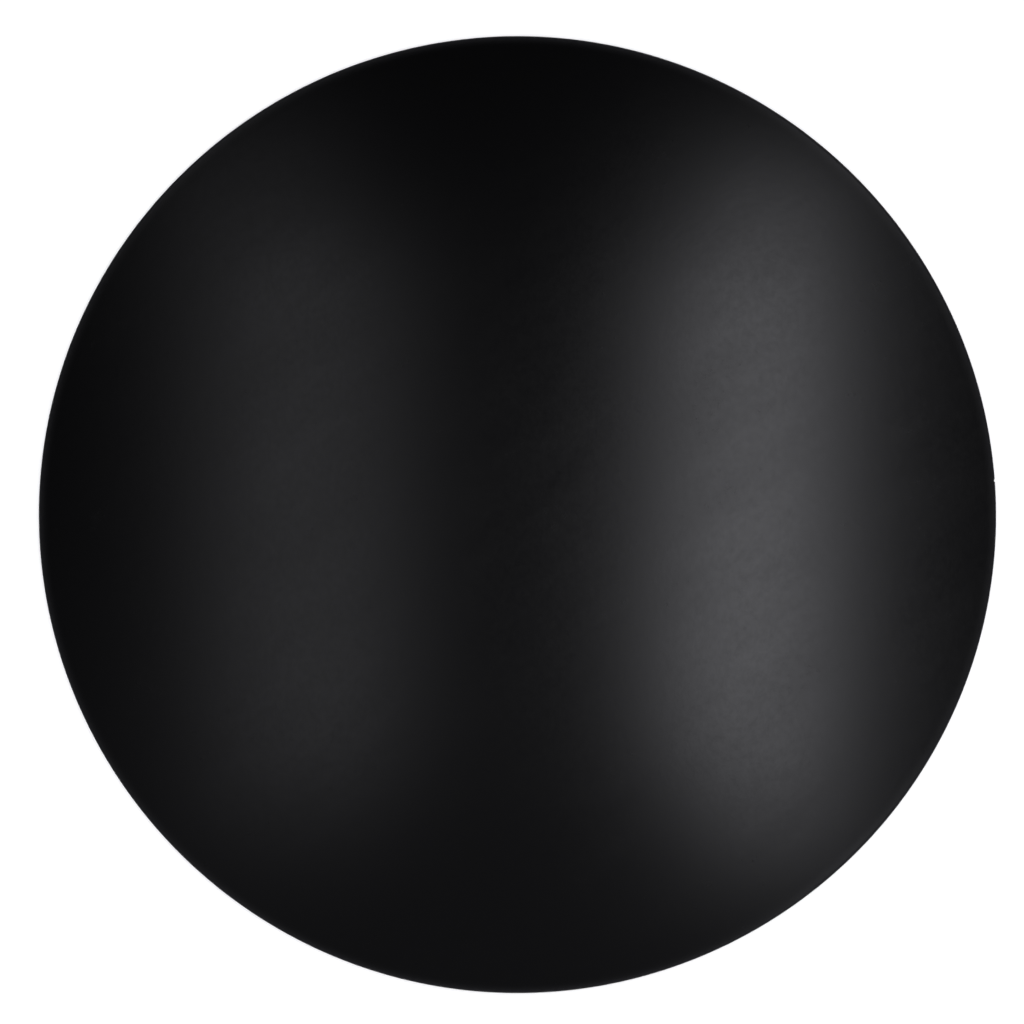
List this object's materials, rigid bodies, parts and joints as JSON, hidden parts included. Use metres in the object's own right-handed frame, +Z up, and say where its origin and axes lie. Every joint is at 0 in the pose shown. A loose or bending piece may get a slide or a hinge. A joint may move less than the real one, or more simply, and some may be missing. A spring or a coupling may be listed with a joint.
{
  "type": "round 3d printer build plate",
  "caption": "Round flexible magnetic build plate for a delta 3D printer: black print film on a magnetic sheet, with its peel-and-stick magnetic base and split liner.",
  "frame": {"origin": "centre of the underside of the release liner, which rests on a flat surface", "axes": "+Z up, out of the print face; -Y towards the front of the printer; +X to the right, towards the knife nick in the rim"},
  "size_m": [0.22, 0.22, 0.0021],
  "materials": {
    "print_film": "satin",
    "film_adhesive": "satin",
    "plate_magnet_sheet": "matte",
    "base_magnet_sheet": "matte",
    "bed_adhesive": "gloss",
    "liner": "satin"
  },
  "bodies": {
    "magnetic_base": {"base_magnet_sheet": "base_magnet_sheet", "bed_adhesive": "bed_adhesive"},
    "flex_plate": {"plate_magnet_sheet": "plate_magnet_sheet", "film_adhesive": "film_adhesive", "print_film": "print_film"},
    "liner_half_left": {"liner_left": "liner"},
    "liner_half_right": {"liner_right": "liner"}
  },
  "joints": [
    {"name": "plate_peel", "type": "hinge", "parent": "magnetic_base", "child": "flex_plate", "pos_m": [0, 0.11, 0.00111], "axis": [-1, 0, 0], "range_deg": [0, 30]},
    {"name": "liner_left_pull", "type": "slide", "parent": "magnetic_base", "child": "liner_half_left", "axis": [-1, 0, 0], "range_m": [0, 0.11]},
    {"name": "liner_right_pull", "type": "slide", "parent": "magnetic_base", "child": "liner_half_right", "axis": [1, 0, 0], "range_m": [0, 0.11]}
  ]
}
